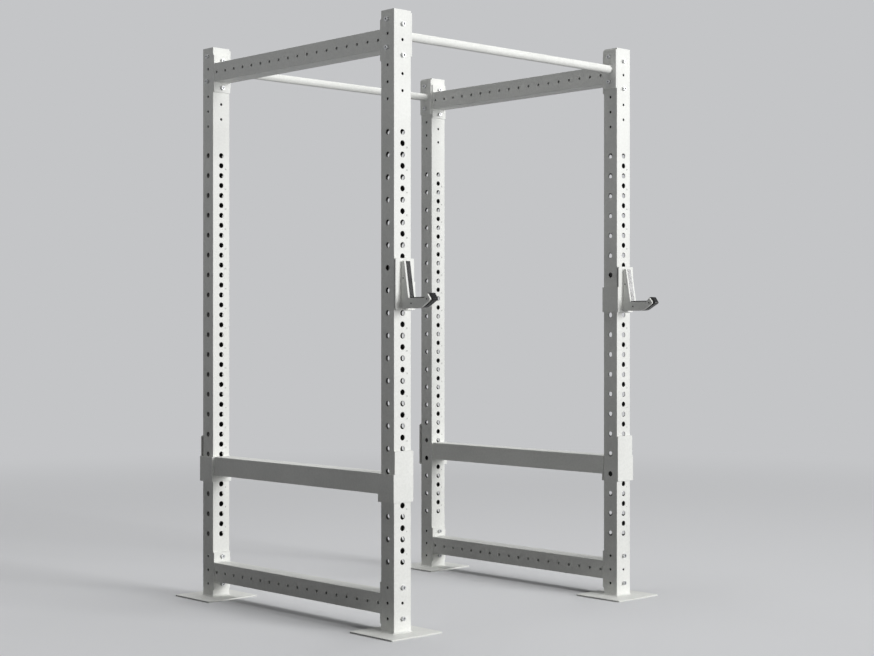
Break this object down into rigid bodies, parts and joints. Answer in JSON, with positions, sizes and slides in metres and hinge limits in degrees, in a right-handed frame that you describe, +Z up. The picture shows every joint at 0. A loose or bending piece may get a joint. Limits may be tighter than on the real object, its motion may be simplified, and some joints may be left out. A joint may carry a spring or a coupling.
{
  "type": "power rack",
  "caption": "Four-post power rack with punched box uprights on foot plates, pull-up bars, barbell hooks and side safety bars.",
  "frame": {"origin": "on the floor, at the middle of the rectangle of the four upright axes", "axes": "+Z up, +X to the rack's right side, +Y to its rear; the hooks are on the front, at -Y"},
  "size_m": [1.432, 1.4196, 2.208],
  "materials": {
    "white_powder_coat": "satin",
    "coated_fasteners": "satin",
    "black_plastic": "matte",
    "gloss_black_plastic": "gloss",
    "blackened_steel": "satin"
  },
  "bodies": {
    "frame": {"front_left_upright": "white_powder_coat", "front_left_foot_plate": "white_powder_coat", "front_left_top_cap": "black_plastic", "front_left_bar_flange": "white_powder_coat", "rear_left_upright": "white_powder_coat", "rear_left_foot_plate": "white_powder_coat", "rear_left_top_cap": "black_plastic", "rear_left_bar_flange": "white_powder_coat", "upper_left_crossmember": "white_powder_coat", "upper_left_front_end_plate": "white_powder_coat", "upper_left_rear_end_plate": "white_powder_coat", "lower_left_crossmember": "white_powder_coat", "lower_left_front_end_plate": "white_powder_coat", "lower_left_rear_end_plate": "white_powder_coat", "front_right_upright": "white_powder_coat", "front_right_foot_plate": "white_powder_coat", "front_right_top_cap": "black_plastic", "front_right_bar_flange": "white_powder_coat", "rear_right_upright": "white_powder_coat", "rear_right_foot_plate": "white_powder_coat", "rear_right_top_cap": "black_plastic", "rear_right_bar_flange": "white_powder_coat", "upper_right_crossmember": "white_powder_coat", "upper_right_front_end_plate": "white_powder_coat", "upper_right_rear_end_plate": "white_powder_coat", "lower_right_crossmember": "white_powder_coat", "lower_right_front_end_plate": "white_powder_coat", "lower_right_rear_end_plate": "white_powder_coat", "front_pull_up_bar": "white_powder_coat", "rear_pull_up_bar": "white_powder_coat", "crossmember_bolts": "coated_fasteners", "crossmember_nuts": "coated_fasteners", "pull_up_bolts": "coated_fasteners", "pull_up_nuts": "coated_fasteners"},
    "left_hook": {"left_hook_saddle": "white_powder_coat", "left_hook_liner": "black_plastic", "left_hook_pin": "white_powder_coat", "left_hook_side_plates": "white_powder_coat", "left_hook_core": "gloss_black_plastic", "left_hook_clamp_screws": "blackened_steel"},
    "left_safety_bar": {"left_safety_tube": "white_powder_coat", "left_safety_front_saddle": "white_powder_coat", "left_safety_rear_saddle": "white_powder_coat", "left_safety_liners": "black_plastic", "left_safety_pins": "white_powder_coat"},
    "right_hook": {"right_hook_saddle": "white_powder_coat", "right_hook_liner": "black_plastic", "right_hook_pin": "white_powder_coat", "right_hook_side_plates": "white_powder_coat", "right_hook_core": "gloss_black_plastic", "right_hook_clamp_screws": "blackened_steel"},
    "right_safety_bar": {"right_safety_tube": "white_powder_coat", "right_safety_front_saddle": "white_powder_coat", "right_safety_rear_saddle": "white_powder_coat", "right_safety_liners": "black_plastic", "right_safety_pins": "white_powder_coat"}
  },
  "joints": [
    {"name": "left_hook_swing", "type": "hinge", "parent": "frame", "child": "left_hook", "pos_m": [-0.596, -0.583, 1.296], "axis": [0, -1, 0], "range_deg": [0, 90]},
    {"name": "left_safety_slide", "type": "slide", "parent": "frame", "child": "left_safety_bar", "axis": [-1, 0, 0], "range_m": [0, 0.15]},
    {"name": "right_hook_swing", "type": "hinge", "parent": "frame", "child": "right_hook", "pos_m": [0.596, -0.583, 1.296], "axis": [0, 1, 0], "range_deg": [0, 90]},
    {"name": "right_safety_slide", "type": "slide", "parent": "frame", "child": "right_safety_bar", "axis": [1, 0, 0], "range_m": [0, 0.15]}
  ]
}
